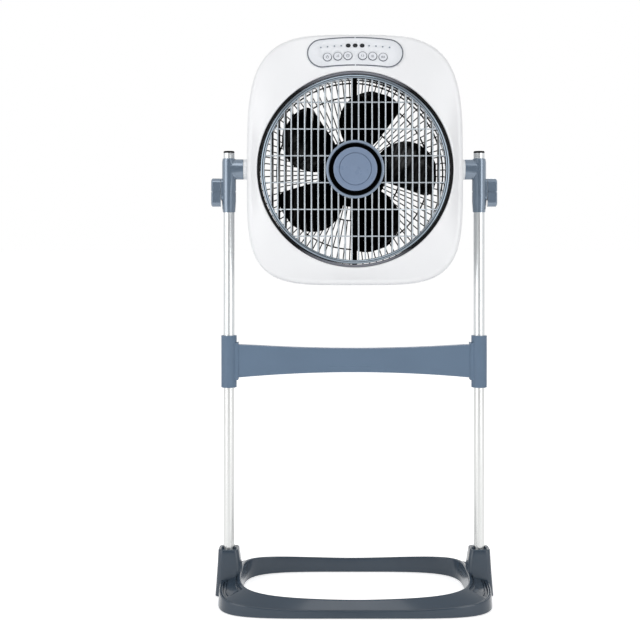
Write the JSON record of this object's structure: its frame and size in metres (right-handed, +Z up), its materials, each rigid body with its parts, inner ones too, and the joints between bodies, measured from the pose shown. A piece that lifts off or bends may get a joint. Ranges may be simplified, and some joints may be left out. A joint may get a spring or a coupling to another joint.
{
  "type": "box fan",
  "caption": "Box fan on a pole stand: white head with a turning round louvre, tilting and sliding on clamp sleeves over a ring base.",
  "frame": {"origin": "on the floor, under the middle of the two poles", "axes": "+Z up, the fan blows towards -Y, +X to the viewer's right"},
  "size_m": [0.4984, 0.262, 0.967],
  "materials": {
    "slate_dark": "satin moulded plastic",
    "slate": "satin moulded plastic",
    "white_shell": "glossy white moulded plastic",
    "satin_tube": "satin white painted steel tube",
    "polished_tube": "polished steel tube",
    "black_plastic": "glossy black moulded plastic",
    "steel": "zinc plated steel",
    "rubber": "soft black rubber",
    "panel_film": "pale printed overlay",
    "key_plastic": "pale key caps",
    "lens": "smoked lens",
    "board": "green circuit board",
    "nylon": "natural nylon"
  },
  "bodies": {
    "stand": {"base_ring": "slate_dark", "base_pads": "rubber", "pole_lower_left": "satin_tube", "pole_lower_right": "satin_tube", "pole_upper_left": "polished_tube", "pole_upper_right": "polished_tube", "pole_caps": "black_plastic", "cross_brace": "slate", "stand_screws": "steel"},
    "carriage": {"tee_left": "slate", "tee_right": "slate", "clamp_shoes": "nylon", "clamp_nuts": "steel", "tilt_washers": "rubber"},
    "clamp_knob_left": {"knob_left": "slate", "knob_studs_left": "steel"},
    "clamp_knob_right": {"knob_right": "slate", "knob_studs_right": "steel"},
    "head": {"pivot_collar_left": "white_shell", "pivot_collar_right": "white_shell", "pivot_bolts": "steel", "front_shell": "white_shell", "rear_shell": "white_shell", "air_duct": "black_plastic", "louvre_beam": "black_plastic", "louvre_motor": "steel", "rear_guard": "black_plastic", "guard_screws": "steel", "shell_screws": "steel", "fan_motor": "steel", "capacitor": "nylon", "control_panel": "panel_film", "display_windows": "lens", "indicator_lights": "panel_film", "control_board": "board", "cord_gland": "black_plastic"},
    "fan_rotor": {"motor_shaft": "steel", "fan_blade": "black_plastic", "blade_nut": "black_plastic"},
    "louvre": {"louvre_wheel": "slate", "louvre_dish": "black_plastic", "louvre_cap": "slate", "louvre_shaft": "steel"},
    "key_cap_1": {"key_1": "key_plastic"},
    "key_cap_2": {"key_2": "key_plastic"},
    "key_cap_3": {"key_3": "key_plastic"},
    "key_cap_4": {"key_4": "key_plastic"},
    "key_cap_5": {"key_5": "key_plastic"},
    "key_cap_6": {"key_6": "key_plastic"}
  },
  "joints": [
    {"name": "height_slide", "type": "slide", "parent": "stand", "child": "carriage", "axis": [0, 0, 1], "range_m": [-0.08, 0]},
    {"name": "head_tilt", "type": "hinge", "parent": "carriage", "child": "head", "pos_m": [0, 0, 0.74], "axis": [-1, 0, 0], "range_deg": [-30, 90]},
    {"name": "knob_turn_left", "type": "hinge", "parent": "carriage", "child": "clamp_knob_left", "pos_m": [-0.232, 0, 0.701], "axis": [-1, 0, 0], "range_deg": [0, 270]},
    {"name": "knob_turn_right", "type": "hinge", "parent": "carriage", "child": "clamp_knob_right", "pos_m": [0.232, 0, 0.701], "axis": [1, 0, 0], "range_deg": [0, 270]},
    {"name": "fan_spin", "type": "hinge", "parent": "head", "child": "fan_rotor", "pos_m": [0, 0.02, 0.737], "axis": [0, -1, 0], "continuous": true},
    {"name": "louvre_spin", "type": "hinge", "parent": "head", "child": "louvre", "pos_m": [0, -0.05, 0.737], "axis": [0, -1, 0], "continuous": true},
    {"name": "key_press_1", "type": "slide", "parent": "head", "child": "key_cap_1", "axis": [0, 0.9732, -0.23], "range_m": [0, 0.0008], "stiffness_N_per_m": 800},
    {"name": "key_press_2", "type": "slide", "parent": "head", "child": "key_cap_2", "axis": [0, 0.9732, -0.23], "range_m": [0, 0.0008], "stiffness_N_per_m": 800},
    {"name": "key_press_3", "type": "slide", "parent": "head", "child": "key_cap_3", "axis": [0, 0.9732, -0.23], "range_m": [0, 0.0008], "stiffness_N_per_m": 800},
    {"name": "key_press_4", "type": "slide", "parent": "head", "child": "key_cap_4", "axis": [0, 0.9732, -0.23], "range_m": [0, 0.0008], "stiffness_N_per_m": 800},
    {"name": "key_press_5", "type": "slide", "parent": "head", "child": "key_cap_5", "axis": [0, 0.9732, -0.23], "range_m": [0, 0.0008], "stiffness_N_per_m": 800},
    {"name": "key_press_6", "type": "slide", "parent": "head", "child": "key_cap_6", "axis": [0, 0.9732, -0.23], "range_m": [0, 0.0008], "stiffness_N_per_m": 800}
  ]
}
